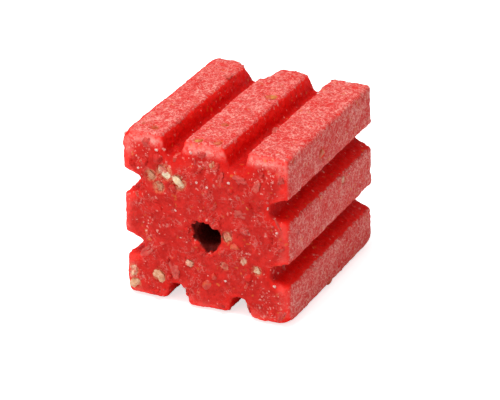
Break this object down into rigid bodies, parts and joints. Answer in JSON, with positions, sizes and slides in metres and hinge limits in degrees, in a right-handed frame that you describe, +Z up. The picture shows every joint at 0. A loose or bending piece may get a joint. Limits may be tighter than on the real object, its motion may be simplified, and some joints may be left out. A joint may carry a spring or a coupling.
{
  "type": "ribbed bait block",
  "caption": "Ribbed square block of pressed wax and cereal meal with a centre bore for a securing rod.",
  "frame": {"origin": "centre of the resting face, the underside of the lowest ribs", "axes": "+Z up, +Y along the bore from the front cut end to the back cut end, +X to the right seen from the front"},
  "size_m": [0.029, 0.0326, 0.029],
  "materials": {
    "wax_meal": "grainy wax, frosted where handled",
    "oat_flake": "matte",
    "wheat_chip": "matte",
    "yellow_maize": "matte",
    "orange_maize": "matte",
    "bran": "matte",
    "husk": "matte",
    "torn_crumb": "grainy wax",
    "meal_crumb": "grainy wax",
    "starch": "matte",
    "sugar": "clear crystal"
  },
  "bodies": {
    "root": {"wax_meal_block": "wax_meal", "rolled_oat_flakes": "oat_flake", "wheat_chips": "wheat_chip", "yellow_maize_grits": "yellow_maize", "orange_maize_grits": "orange_maize", "wheat_bran_flakes": "bran", "oat_husk_slivers": "husk", "bore_mouth_crumbs": "torn_crumb", "dyed_meal_crumbs": "meal_crumb", "starch_prills": "starch", "sugar_crystals": "sugar"}
  },
  "joints": []
}
